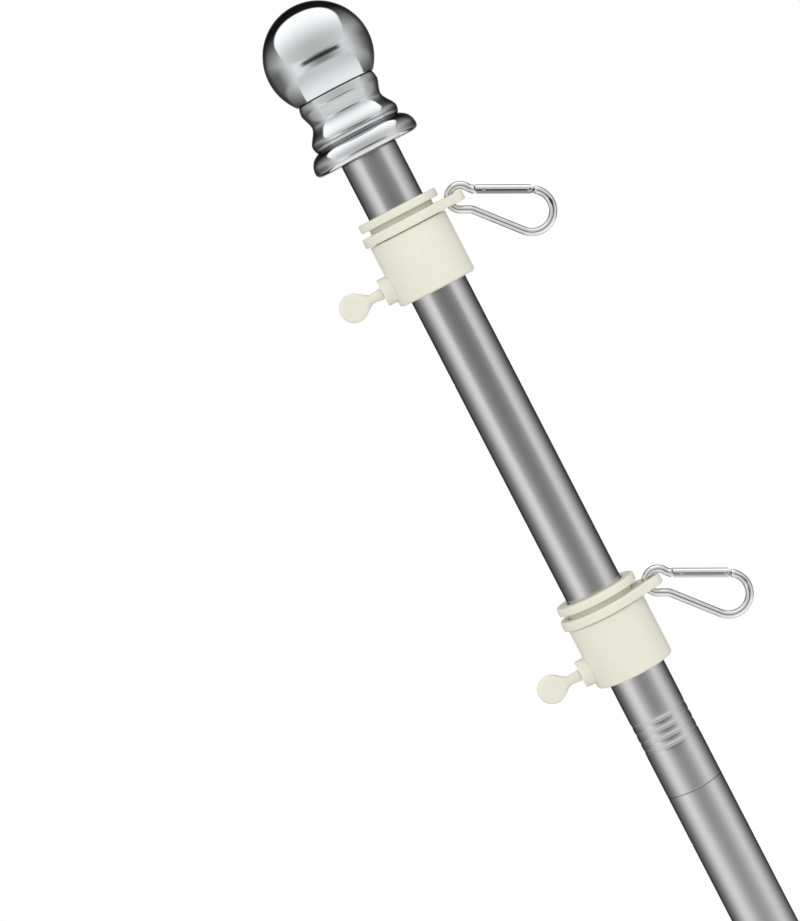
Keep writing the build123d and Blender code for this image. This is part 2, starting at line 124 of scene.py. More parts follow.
class FlagpoleFinishes(bpy.types.PropertyGroup):
    steel: colour("Satin steel", "Tint of the pole's stainless tube", (0.80, 0.80, 0.80))
    steel_roughness: share("Satin steel roughness", "Roughness of the tube", 0.24)
    mirror: colour("Mirror chrome", "Tint of the finial's chrome", (0.865, 0.87, 0.88))
    ivory: colour(
        "Ivory nylon", "Colour of the collars, swivel rings and thumb screws", (0.765, 0.755, 0.645)
    )
    plate: colour("Plated wire", "Tint of the snap hooks", (0.98, 0.985, 0.99))
    zinc: colour("Zinc", "Tint of the wing screws", (0.88, 0.885, 0.87))
    cast: colour("Cast silver", "Colour of the bracket's painted casting", (0.76, 0.765, 0.765))


class FlagpoleStage(bpy.types.PropertyGroup):
    lens: bpy.props.FloatProperty(
        name="Lens", description="Focal length of the camera", default=128.2, unit="CAMERA"
    )
    ambient: share("Ambient", "Strength of the light that comes from all round", 0.8)
    key_power: bpy.props.FloatProperty(
        name="Key lamp", description="Power of the main soft lamp in watts", default=25.0, min=0
    )


# Points, profiles and surfaces

def unit(vector):
    return np.asarray(vector, float) / np.linalg.norm(vector)


class Place:
    """Right-handed axes at a point. Calling it sets points on these axes into the model:
    origin plus x times across, y times the third axis, z times along."""

    def __init__(self, origin, across, along):
        self.origin = np.asarray(origin, float)
        self.axes = np.stack([unit(across), unit(np.cross(along, across)), unit(along)])

    def __call__(self, points):
        return self.origin + np.asarray(points) @ self.axes


def run(start, end, count):
    """Straight run of points, evenly from start to end."""
    return np.linspace(np.asarray(start, float), np.asarray(end, float), count)


def arc(centre, radius, start, end, count):
    """Arc in a flat plane: centre plus radius times (cos t, sin t), t even between two angles in degrees."""
    t = np.radians(np.linspace(start, end, count))
    return np.asarray(centre) + radius * np.stack([np.cos(t), np.sin(t)], axis=1)


def arc_through(first, middle, last, count):
    """Arc through three flat points: its centre is as far from the first as from the other two."""
    a, b, c = (np.asarray(p, float) for p in (first, middle, last))
    centre = np.linalg.solve(2 * np.stack([b - a, c - a]), [b @ b - a @ a, c @ c - a @ a])
    spokes = np.stack([a, b, c]) - centre
    turns = np.unwrap(np.arctan2(spokes[:, 1], spokes[:, 0]))
    return arc(centre, np.linalg.norm(spokes[0]), *np.degrees(turns[[0, 2]]), count)


def easing(start, end, start_run, end_run, count):
    """Cubic curve between two flat points that leaves and arrives along the given runs."""
    s = np.linspace(0, 1, count)[:, None]
    a, b, m, n = (np.asarray(p, float) for p in (start, end, start_run, end_run))
    return (
        a * (2 * s**3 - 3 * s**2 + 1) + m * (s**3 - 2 * s**2 + s)
        + b * (3 * s**2 - 2 * s**3) + n * (s**3 - s**2)
    )


def joined(*runs):
    """Runs of points end to end, each without its first point where that repeats the last one."""
    kept = [runs[0]]
    for line in runs[1:]:
        repeats = np.allclose(kept[-1][-1], line[0], atol=1e-7)
        kept.append(line[1:] if repeats else line)
    return np.concatenate(kept)


def blend(value, low, high):
    """Smooth step of an array from 0 at low to 1 at high."""
    s = np.clip((value - low) / (high - low), 0, 1)
    return s * s * (3 - 2 * s)


def turned(profile, columns=160):
    """Surface of revolution: x = r cos t, y = r sin t, z = h for each point (r, h) of the profile."""
    t = np.linspace(0, 2 * np.pi, columns, endpoint=False)
    r, h = profile[:, :1], profile[:, 1:]
    return np.stack([r * np.cos(t), r * np.sin(t), np.broadcast_to(h, (len(profile), columns))], axis=-1)


def carried(path, half_heights, half_depths, columns=40, corner=2.0):
    """Section carried along a flat path: the point of the path, plus the section's height times the
    path's normal, with its depth on z. The section is a superellipse, |y|^n + |z|^n = 1, and corner
    is n."""
    along = np.gradient(path, axis=0)
    along /= np.linalg.norm(along, axis=1, keepdims=True)
    normal = np.stack([-along[:, 1], along[:, 0]], axis=1)
    t = np.linspace(0, 2 * np.pi, columns, endpoint=False)
    high = np.sign(np.cos(t)) * np.abs(np.cos(t)) ** (2 / corner)
    deep = np.sign(np.sin(t)) * np.abs(np.sin(t)) ** (2 / corner)
    heights = np.asarray(half_heights)[:, None] * high
    depths = np.asarray(half_depths)[:, None] * deep
    flat = path[:, None, :] + heights[..., None] * normal[:, None, :]
    return np.concatenate([flat, depths[..., None]], axis=-1)


def threaded(radius, pitch, depth, start, end, columns=64, rows_a_turn=12):
    """Screw thread: radius at angle t and height z is the outer radius less depth times a rounded
    saw of z / pitch - t / 2 pi. Both ends run down to the axis over a short cone."""
    rows = int(abs(end - start) / pitch * rows_a_turn) + 1
    z = np.linspace(start, end, rows)[:, None]
    t = np.linspace(0, 2 * np.pi, columns, endpoint=False)[None, :]
    phase = z / pitch - t / (2 * np.pi)
    saw = 2 * np.abs(phase - np.floor(phase) - 0.5)
    saw = np.clip(1.35 * saw - 0.175, 0, 1)
    saw = saw * saw * (3 - 2 * saw)
    near_end = np.minimum(np.abs(z - start), np.abs(end - z))
    limit = radius - depth + np.clip(near_end - 0.2 * pitch, -0.3 * pitch, 10 * depth)
    r = np.minimum(radius - depth * saw, limit)
    points = np.stack([r * np.cos(t), r * np.sin(t), z + 0 * t], axis=-1)
    ends = [np.stack([0 * t, 0 * t, 0 * t + height], axis=-1) for height in (start, end)]
    return np.concatenate([ends[0], points, ends[1]])


class Piece:
    """One piece of the model, gathered from grids of points and then made a mesh."""

    def __init__(self, name):
        self.name = name
        self.points = []
        self.faces = []
        self.count = 0

    def grid(self, points, round_rows=False, round_columns=True):
        """Adds the four-sided faces between neighbours of a grid of points, rows by columns."""
        rows, columns = points.shape[:2]
        index = np.arange(rows * columns).reshape(rows, columns) + self.count
        if round_rows:
            index = np.concatenate([index, index[:1]])
        if round_columns:
            index = np.concatenate([index, index[:, :1]], axis=1)
        faces = np.stack([index[:-1, :-1], index[1:, :-1], index[1:, 1:], index[:-1, 1:]], axis=-1)
        self.points.append(points.reshape(-1, 3))
        self.faces.append(faces.reshape(-1, 4))
        self.count += rows * columns
        return self

    def make(self, body, material, slot, replaces=(), sharp=32.0):
        """Merges seams and poles, turns the faces outwards and lets the piece ride on its body."""
        mesh = bpy.data.meshes.new(self.name)
        mesh.from_pydata(np.concatenate(self.points).tolist(), [], np.concatenate(self.faces).tolist())
        settle(mesh, sharp)
        return dress(mesh, self.name, body, material, replaces)


def settle(mesh, sharp):
    """Merges doubles, turns faces outwards and shades smooth but for edges sharper than the angle."""
    build = bmesh.new()
    build.from_mesh(mesh)
    bmesh.ops.remove_doubles(build, verts=build.verts, dist=2e-6)
    bmesh.ops.dissolve_degenerate(build, edges=build.edges, dist=1e-7)
    bmesh.ops.recalc_face_normals(build, faces=build.faces)
    build.to_mesh(mesh)
    build.free()
    mesh.shade_smooth()
    mesh.set_sharp_from_angle(angle=radians(sharp))


def dress(mesh, name, body, material, replaces=()):
    """Object for a mesh, with its material, on its body and in place of the nodes it stands for."""
    piece = bpy.data.objects.new(name, mesh)
    bpy.context.scene.collection.objects.link(piece)
    mesh.materials.clear()
    mesh.materials.append(material)
    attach(piece, body)
    if replaces:
        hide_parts(*replaces)
    return piece


def smoothed(node, name, body, material, sharp=30.0):
    """Copy of a node's solid with merged corners and smooth shading, in place of the node."""
    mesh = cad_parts[node].data.copy()
    mesh.name = name
    build = bmesh.new()
    build.from_mesh(mesh)
    bmesh.ops.remove_doubles(build, verts=build.verts, dist=1e-6)
    bmesh.ops.recalc_face_normals(build, faces=build.faces)
    build.to_mesh(mesh)
    build.free()
    mesh.shade_smooth()
    mesh.set_sharp_from_angle(angle=radians(sharp))
    return dress(mesh, name, body, material, (node,))


def pole_top(sizes):
    """Middle of the pole's top face, from the box of its highest section."""
    high = np.array(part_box("pole_section_1")[1])
    return np.array([high[0], 0, high[2]]) - np.array([1, 0, 1]) * sizes.pole_radius / np.sqrt(2)


def on_pole(sizes, drop):
    """Axes on the pole this far below its top: z up the pole, x towards its underside."""
    return Place(pole_top(sizes) - UP_POLE * drop, UNDER_POLE, UP_POLE)


# Shader maths and nodes

class Wire:
    """Output of a node. Arithmetic on it adds Math nodes."""

    def __init__(self, graph, socket):
        self.graph = graph
        self.socket = socket

    def math(self, operation, *values):
        return self.graph.add("ShaderNodeMath", {"operation": operation}, dict(enumerate((self, *values))))

    def __add__(self, other):
        return self.math("ADD", other)

    def __sub__(self, other):
        return self.math("SUBTRACT", other)

    def __rsub__(self, other):
        return (self * -1.0) + other

    def __mul__(self, other):
        return self.math("MULTIPLY", other)

    def __pow__(self, other):
        return self.math("POWER", other)

    def __abs__(self):
        return self.math("ABSOLUTE")

    __radd__ = __add__
    __rmul__ = __mul__

    def least(self, other):
        return self.math("MINIMUM", other)

    def most(self, other):
        return self.math("MAXIMUM", other)

    def step(self, low, high):
        """Smooth step from 0 at low to 1 at high."""
        return self.graph.add(
            "ShaderNodeMapRange",
            {"interpolation_type": "SMOOTHSTEP", "clamp": True},
            {"Value": self, "From Min": low, "From Max": high, "To Min": 0.0, "To Max": 1.0},
        )


class Graph:
    """Node tree of a material or of the world, emptied first."""

    def __init__(self, owner):
        owner.use_nodes = True
        self.tree = owner.node_tree
        self.tree.nodes.clear()

    def add(self, kind, settings, values, output=0):
        """Adds a node: its settings first, then a number, colour or link for each socket named."""
        node = self.tree.nodes.new(kind)
        for key, value in settings.items():
            if key == "stops":
                elements = node.color_ramp.elements
                for place, level in value[:-2]:
                    elements.new(place)
                for element, (place, level) in zip(elements, value):
                    element.position = place
                    element.color = (level, level, level, 1)
            else:
                setattr(node, key, value)
        for key, value in values.items():
            if isinstance(value, Wire):
                self.tree.links.new(value.socket, node.inputs[key])
            else:
                node.inputs[key].default_value = value
        return Wire(self, node.outputs[output]) if len(node.outputs) else node

    def mix(self, factor, a, b):
        """Colour between a and b."""
        a = a if isinstance(a, Wire) else (*a, 1.0)
        b = b if isinstance(b, Wire) else (*b, 1.0)
        return self.add("ShaderNodeMix", {"data_type": "RGBA"}, {0: factor, 6: a, 7: b}, output=2)

    def place(self):
        return self.add("ShaderNodeTexCoord", {}, {}, output="Object")

    def noise(self, vector, scale, detail, roughness):
        values = {"Vector": vector, "Scale": scale, "Detail": detail, "Roughness": roughness}
        return self.add("ShaderNodeTexNoise", {}, values)

    def along_pole(self, stretch=1.0):
        """Object coordinates turned so that z runs up the pole, with z then stretched for grain."""
        turn = (0, radians(-POLE_LEAN), 0)
        straight = self.add("ShaderNodeMapping", {}, {"Vector": self.place(), "Rotation": turn})
        return self.add("ShaderNodeMapping", {}, {"Vector": straight, "Scale": (1.0, 1.0, stretch)})

    def bump(self, height, distance, strength, normal=None):
        values = {"Height": height, "Distance": distance, "Strength": strength}
        if normal is not None:
            values["Normal"] = normal
        return self.add("ShaderNodeBump", {}, values)

    def surface(self, **values):
        """Principled surface to the material's output; names have a space where the socket has one."""
        named = {key.replace("_", " "): value for key, value in values.items()}
        for key in ("Base Color", "Specular Tint"):
            if key in named and not isinstance(named[key], Wire):
                named[key] = (*named[key], 1.0)
        shader = self.add("ShaderNodeBsdfPrincipled", {}, named)
        self.add("ShaderNodeOutputMaterial", {}, {"Surface": shader})


def tinted(colour_value, factor):
    return tuple(min(1.0, channel * factor) for channel in colour_value)


def started(name):
    """New material of this name, and the graph that its maker fills."""
    material = bpy.data.materials.new(name)
    return material, Graph(material)


def satin_steel(colour_value, roughness, foot, spacing):
    """Stainless tube: fine polishing lines along the pole, a faint change of gloss, and a painted dark line
    of shade where two sections meet, in place of the shadow in the joint: the place along the pole, less the
    foot's, over the spacing, is then close to a whole number."""
    material, graph = started("satin_steel")
    straight = graph.along_pole()
    share_along = (graph.add("ShaderNodeSeparateXYZ", {}, {0: straight}, output="Z") - foot) * (1 / spacing)
    off_seam = abs(share_along - share_along.math("ROUND")) * spacing
    # Painted shade: a dark line on the tube where two sections meet
    seam_shade = (1 - off_seam.step(0.1 * MM, 0.3 * MM)) * 0.62
    lines = graph.noise(graph.along_pole(0.012), 2600.0, 2.0, 0.6)
    patches = graph.noise(graph.along_pole(0.25), 45.0, 3.0, 0.55)
    bright = graph.mix(lines.step(0.3, 0.7), tinted(colour_value, 0.985), tinted(colour_value, 1.015))
    graph.surface(
        Base_Color=graph.mix(seam_shade, bright, tinted(colour_value, 0.1)),
        Metallic=1.0,
        Roughness=roughness + (lines - 0.5) * 0.03 + (patches - 0.5) * 0.03,
        Normal=graph.bump(lines, 0.000003, 0.2),
        Specular_Tint=PAINTED_DARK_RIM,
    )
    return material


def mirror_chrome(colour_value, foot, creases):
    """Polished chrome with a trace of wiping marks, and painted shade in the creases: thin dark rings at
    these heights above the foot."""
    material, graph = started("mirror_chrome")
    straight = graph.along_pole()
    rise = graph.add("ShaderNodeSeparateXYZ", {}, {0: straight}, output="Z") - foot
    # Painted shade: thin dark rings on the chrome in the finial's creases
    crease_shade = 0.0
    for crease in creases:
        crease_shade = (1 - abs(rise - crease).step(0.08 * MM, 0.3 * MM)).most(crease_shade)
    marks = graph.noise(graph.place(), 70.0, 4.0, 0.6)
    haze = graph.noise(graph.along_pole(6.0), 260.0, 2.0, 0.5)
    bright = graph.mix(marks.step(0.35, 0.75), tinted(colour_value, 1.0), tinted(colour_value, 0.985))
    graph.surface(
        Base_Color=graph.mix(crease_shade * 0.85, bright, tinted(colour_value, 0.08)),
        Metallic=1.0,
        Roughness=0.02 + marks.step(0.45, 0.75) * 0.03 + haze * 0.006,
        Normal=graph.bump(haze, 0.000002, 0.3),
        Specular_Tint=PAINTED_GREY_RIM,
    )
    return material


def ivory_nylon(colour_value):
    """Moulded ivory plastic: slight cloudiness, a silky moulded skin and light that goes in a little."""
    material, graph = started("ivory_nylon")
    place = graph.place()
    cloud = graph.noise(place, 55.0, 3.0, 0.5)
    skin = graph.noise(place, 900.0, 3.0, 0.55)
    flow = graph.noise(graph.along_pole(0.2), 160.0, 2.0, 0.5)
    graph.surface(
        Base_Color=graph.mix(cloud.step(0.3, 0.7), tinted(colour_value, 1.0), tinted(colour_value, 0.965)),
        Roughness=0.36 + (skin - 0.5) * 0.12 + (cloud - 0.5) * 0.08,
        Normal=graph.bump(skin, 0.00002, 0.35, graph.bump(flow, 0.00012, 0.3)),
        Subsurface_Weight=0.25,
        Subsurface_Radius=(1.0, 0.9, 0.6),
        Subsurface_Scale=0.0016,
        Specular_IOR_Level=0.45,
    )
    return material


def plated_wire(colour_value):
    """Bright plated spring wire with faint draw lines and a few rubbed spots."""
    material, graph = started("plated_wire")
    place = graph.place()
    rub = graph.noise(place, 420.0, 4.0, 0.6)
    grain = graph.noise(place, 2400.0, 2.0, 0.5)
    graph.surface(
        Base_Color=graph.mix(rub.step(0.45, 0.8), tinted(colour_value, 1.0), tinted(colour_value, 0.93)),
        Metallic=1.0,
        Roughness=0.03 + rub.step(0.4, 0.8) * 0.04 + (grain - 0.5) * 0.02,
        Normal=graph.bump(grain, 0.000008, 0.3),
        Specular_Tint=PAINTED_DARK_RIM,
    )
    return material


def bright_zinc(colour_value):
    """Zinc plate: clouded bright metal with a fine crystalline grain."""
    material, graph = started("bright_zinc")
    place = graph.place()
    cloud = graph.noise(place, 230.0, 4.0, 0.6)
    grain = graph.noise(place, 1900.0, 3.0, 0.6)
    graph.surface(
        Base_Color=graph.mix(cloud.step(0.3, 0.75), tinted(colour_value, 1.05), tinted(colour_value, 0.9)),
        Metallic=0.82,
        Roughness=0.15 + cloud.step(0.3, 0.8) * 0.08 + (grain - 0.5) * 0.04,
        Normal=graph.bump(grain, 0.00001, 0.25),
    )
    return material


def painted_casting(colour_value):
    """Sand-cast aluminium under silver paint: a pebbled skin, with bright flakes and darker pits."""
    material, graph = started("painted_casting")
    place = graph.place()
    sand = graph.noise(place, 2300.0, 2.0, 0.6)
    lumps = graph.noise(place, 420.0, 2.0, 0.5)
    sweep = graph.noise(place, 28.0, 3.0, 0.5)
    flakes = graph.noise(place, 3900.0, 1.0, 0.5).step(0.56, 0.7)
    height = sand * 0.75 + lumps * 0.25
    pits = 1 - sand.step(0.3, 0.6)
    colour_now = graph.mix(pits, tinted(colour_value, 1.1), tinted(colour_value, 0.74))
    colour_now = graph.mix(flakes * 0.5, colour_now, tinted(colour_value, 1.38))
    graph.surface(
        Base_Color=graph.mix(sweep.step(0.35, 0.7) * 0.2, colour_now, tinted(colour_value, 0.86)),
        Metallic=0.84,
        Roughness=0.36 + pits * 0.14 - flakes * 0.12 + (sweep - 0.5) * 0.06,
        Normal=graph.bump(height, 0.00012, 0.7),
    )
    return material


def finish(maker, *values):
    """Material that this maker fills, made once: it has the maker's own name."""
    return bpy.data.materials.get(maker.__name__) or maker(*values)


def settings_of(context):
    return context.scene.flagpole_sizes, context.scene.flagpole_finishes


# Stage

TUBE_STRIPS = (
    (0.0, 0.01), (0.02, 0.02), (0.07, 0.08), (0.12, 0.21), (0.175, 0.47), (0.225, 0.71),
    (0.275, 0.85), (0.325, 0.78), (0.375, 0.6), (0.425, 0.41), (0.475, 0.28), (0.525, 0.24),
    (0.575, 0.27), (0.625, 0.37), (0.675, 0.52), (0.725, 0.68), (0.765, 0.73), (0.8, 0.65),
    (0.85, 0.44), (0.905, 0.23), (0.955, 0.09), (0.985, 0.02), (1.0, 0.01),
)


def studio_world(ambient):
    """World: white to the camera; even soft light to matt surfaces; and to metal a studio of two
    large windows. With h the middle direction between the ray and the front, u = h . up the pole and
    v = h . across it. A window is where |u'|^n + |v'|^n < 1 round its own centre, and the walls
    beside it fall off as 1 / (u^2 + v^2). A thin dark bar near u = 0 parts the two windows. Where
    the ray runs nearly square to the pole, a band holds two soft strips across v instead, which the
    tube shows from the front."""
    world = bpy.data.worlds.new("studio")
    bpy.context.scene.world = world
    graph = Graph(world)
    ray = graph.add("ShaderNodeTexCoord", {}, {}, output="Generated")

    def vector(operation, a, b=None, output=0):
        values = {0: a} if b is None else {0: a, 1: b}
        return graph.add("ShaderNodeVectorMath", {"operation": operation}, values, output=output)

    middle = vector("NORMALIZE", vector("ADD", ray, tuple(SIDE)))
    front = vector("DOT_PRODUCT", middle, tuple(SIDE), "Value")
    u = vector("DOT_PRODUCT", middle, tuple(UP_POLE), "Value") + 0.03
    v = vector("DOT_PRODUCT", middle, tuple(UNDER_POLE), "Value")
    across = graph.add("ShaderNodeValToRGB", {"stops": TUBE_STRIPS}, {"Fac": v * 0.5 + 0.5})
    lean = vector("DOT_PRODUCT", ray, tuple(UP_POLE), "Value")
    reach = (u * u + v * v) ** 0.5
    rise = (u - 0.465) * 2.5
    bend = 3.5 - rise.step(-0.1, 0.15) * 1.35
    upper = abs(rise) ** bend + abs((v - 0.01) * 1.63) ** bend
    lower = abs((u + 0.46) * 2.36) ** 3.0 + abs((v - 0.02) * 1.71) ** 3.0
    glass = 0.52 + u.step(0.22, 0.82) * 0.66 + v * v * 0.55
    sheen = 0.63 + (u * -1.0).step(0.18, 0.55) * 0.3
    walls = (0.24 * reach ** -2.0).least(0.7) * (1 - abs(u).step(0.22, 0.78))
    walls = walls * (1 - reach.step(0.9, 1.0) * 0.75)
    panes = walls + 0.012
    panes = panes + (glass - panes) * (1 - upper.step(0.94, 1.07))
    panes = panes + (sheen - panes) * (1 - lower.step(0.94, 1.07))
    across = across.most(walls * 0.42 * abs(v).step(0.6, 0.75))
    band = lean.step(-0.36, -0.22) * (1 - u.step(0.06, v * v * 0.3 + 0.1))
    bar = u.step(-0.035, -0.005) * (1 - u.step(0.04, 0.06)) * v.step(-0.4, -0.26) * (1 - v.step(0.34, 0.46))
    rear = (1 - front.step(0.08, 0.3)) * 0.2
    level = (panes + (across - panes) * band) * (1 - bar * 0.85) + rear

    def light(strength):
        values = {"Color": (1, 1, 1, 1), "Strength": strength}
        return graph.add("ShaderNodeBackground", {}, values)

    def ray_is(kind):
        return graph.add("ShaderNodeLightPath", {}, {}, output=f"Is {kind} Ray")

    white, soft, studio = light(1.0), light(ambient), light(level)
    glossy, seen, through = ray_is("Glossy"), ray_is("Camera"), ray_is("Transmission")
    lit = graph.add("ShaderNodeMixShader", {}, {0: glossy, 1: soft, 2: studio})
    shown = graph.add("ShaderNodeMixShader", {}, {0: seen.most(through), 1: lit, 2: white})
    graph.add("ShaderNodeOutputWorld", {}, {"Surface": shown})


def soft_lamp(name, place, aim, size, power):
    """Large soft square lamp that lights matt surfaces; metal shows the studio's windows instead."""
    data = bpy.data.lights.new(name, "AREA")
    data.shape = "SQUARE"
    data.size = size
    data.energy = power
    lamp = bpy.data.objects.new(name, data)
    bpy.context.scene.collection.objects.link(lamp)
    back = unit(np.asarray(place, float) - np.asarray(aim, float))
    across = unit(np.cross((0, 0, 1), back))
    lamp.matrix_world = axes_matrix(place, across, np.cross(back, across), back)
    lamp.visible_glossy = False


def axes_matrix(place, x, y, z):
    matrix = np.eye(4)
    matrix[:3, 0], matrix[:3, 1], matrix[:3, 2], matrix[:3, 3] = x, y, z, place
    return Matrix(matrix.tolist())


CAMERA_PLACE = (1.06660, -1.38574, 1.05875)
CAMERA_ACROSS = (0.30233, -0.00236, -0.95320)
CAMERA_FORWARD = (-0.07487, 0.99685, -0.02622)
LAMPS_AIM = (0.6, 0.0, 0.6)

# Name, place, size and share of the key lamp's power
LAMPS = (
    ("key_lamp", (0.9, -2.4, 2.4), 2.2, 1.0),
    ("fill_lamp", (2.9, -1.2, 0.3), 2.0, 0.5),
    ("back_lamp", (0.3, 2.6, 1.9), 2.2, 0.8),
)


class FLAGPOLE_OT_stage(bpy.types.Operator):
    """Sets up the camera, the soft lamps and the studio world"""

    bl_idname = "flagpole.stage"
    bl_label = "Stage"

    def execute(self, context):
        scene = context.scene
        stage = scene.flagpole_stage
        scene.view_settings.view_transform = "Standard"
        camera_data = bpy.data.cameras.new("photo_camera")
        camera_data.sensor_fit = "VERTICAL"
        camera_data.sensor_height = 36.0
        camera_data.lens = stage.lens
        camera_data.clip_start = 0.05
        camera = bpy.data.objects.new("photo_camera", camera_data)
        scene.collection.objects.link(camera)
        across, forward = unit(CAMERA_ACROSS), unit(CAMERA_FORWARD)
        camera.matrix_world = axes_matrix(CAMERA_PLACE, across, np.cross(across, forward), -forward)
        scene.camera = camera
        studio_world(stage.ambient)
        for name, place, size, power_share in LAMPS:
            soft_lamp(name, place, LAMPS_AIM, size, stage.key_power * power_share)
        return {"FINISHED"}


# Pole and finial

def tube_profile(sizes, grooved):
    """Closed profile of a tube, foot at 0: each groove lowers the outside by depth / (1 + (h / w)^2)."""
    radius, wall, top = sizes.pole_radius, sizes.tube_wall, sizes.section_length
    edge = sizes.seam_edge
    foot = arc((radius - edge, edge), edge, -90, 0, 4)
    head = arc((radius - edge, top - edge), edge, 0, 90, 4)
    near, margin, run_out = 0.3 * MM, 5 * MM, 2 * MM
    rises = np.array([edge, edge + near, top - edge - near, top - edge])
    if grooved:
        middles = sizes.groove_rise + sizes.groove_pitch * np.arange(GROOVES)
        low, high = middles[0] - margin, middles[-1] + margin
        rolled = np.linspace(low, high, 150)
        rises = np.concatenate([rises[:2], [low - near], rolled, [high + near], rises[2:]])
        dips = sizes.groove_depth / (1 + ((rises[:, None] - middles) / sizes.groove_width) ** 2)
        fade = np.clip(np.minimum(rises - low, high - rises) / run_out, 0, 1)
        outside = radius - np.minimum(dips.sum(axis=1), sizes.groove_depth) * fade
    else:
        outside = np.full(4, radius)
    inside = run((radius - wall, top - edge), (radius - wall, edge), 2)
    return joined(foot, np.stack([outside, rises], axis=1), head, inside)


class FLAGPOLE_OT_tubes(bpy.types.Operator):
    """Makes the five pole sections with their rolled grooves, and finishes the sleeves inside"""

    bl_idname = "flagpole.tubes"
    bl_label = "Pole sections"

    def execute(self, context):
        sizes, finishes = settings_of(context)
        foot = float(pole_top(sizes) @ UP_POLE) - sizes.section_length * SECTIONS
        steel = finish(satin_steel, finishes.steel, finishes.steel_roughness, foot, sizes.section_length)
        for number in range(1, SECTIONS + 1):
            place = on_pole(sizes, sizes.section_length * number)
            surface = turned(tube_profile(sizes, number < SECTIONS), 144)
            Piece(f"pole_tube_{number}").grid(place(surface), round_rows=True).make(
                "pole", steel, "stainless", (f"pole_section_{number}",), 40
            )
            if number < SECTIONS:
                recoat(f"pole_sleeve_{number}", steel)
        return {"FINISHED"}


def recoat(node, material):
    """Gives a node that keeps its own solid this material."""
    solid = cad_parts[node]
    solid.data.materials.clear()
    solid.data.materials.append(material)


def finial_profile():
    """Outline of the turned base in millimetres: flange, cove, ring, waist and bead."""
    foot, flange, shoulder, crease = (21.2, 0), (23.85, 2.7), (21.5, 7.9), (18.75, 9.5)
    ring, waist, bead, neck = (19.9, 12.6), (16.2, 20.3), (17.95, 26.4), (17.2, 30.1)
    return joined(
        run((0, 0), foot, 3),
        arc_through(foot, (23.15, 0.7), flange, 14),
        arc_through(flange, (23.2, 5.6), shoulder, 20),
        easing(shoulder, crease, (-1.1, 1.1), (-1.6, 0.35), 14),
        easing(crease, ring, (1.9, 0.5), (0, 2.6), 14),
        easing(ring, waist, (0, 7.0), (0, 8.0), 36),
        easing(waist, bead, (0, 5.0), (0, 3.0), 28),
        easing(bead, neck, (0, 2.8), (-1.2, 0.8), 18),
        run(neck, (0, neck[1]), 3),
    )


class FLAGPOLE_OT_finial(bpy.types.Operator):
    """Makes the chrome ball and its turned base"""

    bl_idname = "flagpole.finial"
    bl_label = "Finial"

    def execute(self, context):
        sizes, finishes = settings_of(context)
        # Heights above the pole's top of the rings of painted shade in the finial's creases
        creases = np.array([8.6, 9.9, 11.6, 30.15]) * MM
        chrome = finish(mirror_chrome, finishes.mirror, float(pole_top(sizes) @ UP_POLE), creases.tolist())
        top = on_pole(sizes, 0.0)
        Piece("finial_foot").grid(top(turned(finial_profile() * MM, 224))).make(
            "pole", chrome, "mirror", ("finial_base",), 50
        )
        radius, rise = sizes.ball_radius, sizes.ball_rise
        seat = 30.2 * MM
        low = np.degrees(np.arcsin((seat - rise) / radius))
        outline = arc((0, rise), radius, low, 90, 120)
        outline = joined(run((0, seat), outline[0], 2), outline)
        Piece("finial_globe").grid(top(turned(outline, 224))).make(
            "pole", chrome, "mirror", ("finial_ball",), 50
        )
        return {"FINISHED"}


# Collars, thumb screws and swivel rings

FLANGE_R, FLANGE_FOOT = 18.1, 3.7
NECK_R, NECK_FOOT = 14.6, 10.5
BODY_R, BODY_FOOT = 17.6, 38.5
BOSS_R, BOSS_TALL = 6.05, 4.1
SCREW_HOLE_R = 2.1
THUMB_R = 2.05
PADDLE_REACH = 20.0
SWIVEL_THICK, SWIVEL_GAP = 4.2, 0.3


def collar_profile(sizes):
    """Closed outline of a collar in millimetres, radius and rise, from the bore's top round the
    outside: flange, groove for the swivel ring, and body."""
    bore, edge = sizes.collar_bore / MM, sizes.collar_edge / MM
    bevel, rim, lip, shoulder = 0.3, 0.7, 0.5, 0.6
    return joined(
        run((bore, -bevel), (bore + bevel, 0), 2),
        arc((FLANGE_R - rim, -rim), rim, 90, 0, 6),
        arc((FLANGE_R - lip, lip - FLANGE_FOOT), lip, 0, -90, 5),
        run((NECK_R + bevel, -FLANGE_FOOT), (NECK_R, -FLANGE_FOOT - bevel), 2),
        run((NECK_R, bevel - NECK_FOOT), (NECK_R + bevel, -NECK_FOOT), 2),
        arc((BODY_R - shoulder, -NECK_FOOT - shoulder), shoulder, 90, 0, 6),
        arc((BODY_R - edge, edge - BODY_FOOT), edge, 0, -90, 8),
        run((bore + lip, -BODY_FOOT), (bore, lip - BODY_FOOT), 2),
    ) * MM


def boss_profile():
    """Closed outline of a collar's boss in millimetres, radius and distance from the pole's axis:
    flared root, side and bored face."""
    root, root_at, face, edge, bevel = 6.9, 15.6, BODY_R + BOSS_TALL, 0.5, 0.4
    return joined(
        run((SCREW_HOLE_R, root_at), (root, root_at), 2),
        easing((root, 16.9), (BOSS_R, 18.2), (-0.6, 0.3), (0, 0.9), 6),
        arc((BOSS_R - edge, face - edge), edge, 0, 90, 5),
        run((SCREW_HOLE_R + bevel, face), (SCREW_HOLE_R, face - bevel), 2),
    ) * MM


